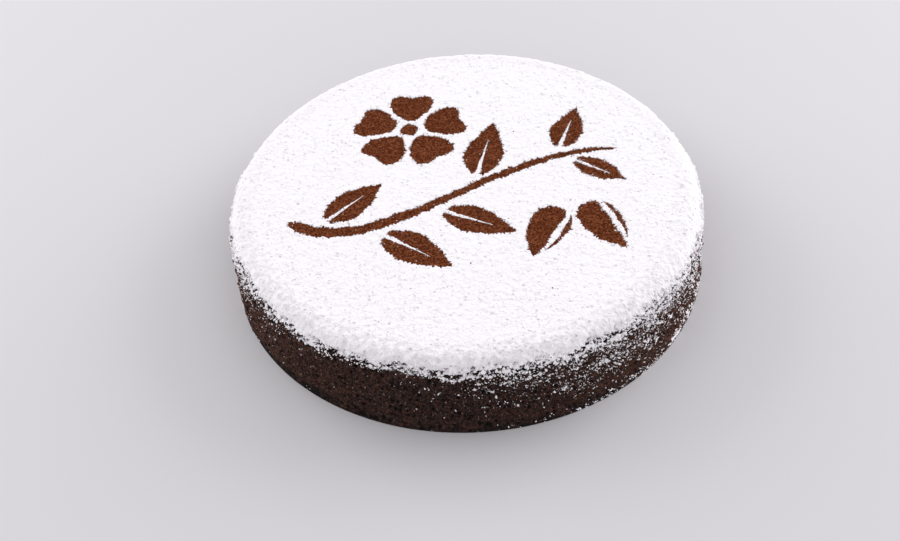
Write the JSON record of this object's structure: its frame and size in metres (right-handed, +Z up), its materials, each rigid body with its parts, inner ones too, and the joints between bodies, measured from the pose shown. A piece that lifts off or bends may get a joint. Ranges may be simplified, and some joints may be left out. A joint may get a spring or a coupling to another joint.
{
  "type": "torta caprese",
  "caption": "Whole round chocolate and almond cake with a crumbly dark wall, dusted with icing sugar and stencilled in cocoa with a leafy sprig, a blossom and almonds.",
  "frame": {"origin": "centre of the cake's base, on the surface that it stands on", "axes": "+Z up through the cake's middle; -Y towards the front, where the stencil is read from; +X to the viewer's right"},
  "size_m": [0.2197, 0.2196, 0.04],
  "materials": {
    "crumb": "dark, moist, crumbly chocolate cake with crags and pits",
    "sugar": "white icing sugar, finely granular and fully matt",
    "cocoa": "brown cocoa powder, finely granular and fully matt"
  },
  "bodies": {
    "root": {"cake_crumb": "crumb", "icing_sugar": "sugar", "cocoa_stem": "cocoa", "cocoa_leaf_1": "cocoa", "cocoa_leaf_2": "cocoa", "cocoa_leaf_3": "cocoa", "cocoa_leaf_4": "cocoa", "cocoa_leaf_5": "cocoa", "cocoa_leaf_6": "cocoa", "cocoa_petal_1": "cocoa", "cocoa_petal_2": "cocoa", "cocoa_petal_3": "cocoa", "cocoa_petal_4": "cocoa", "cocoa_petal_5": "cocoa", "cocoa_eye": "cocoa", "cocoa_kernel_1": "cocoa", "cocoa_rim_1": "cocoa", "cocoa_kernel_2": "cocoa", "cocoa_rim_2": "cocoa"}
  },
  "joints": []
}
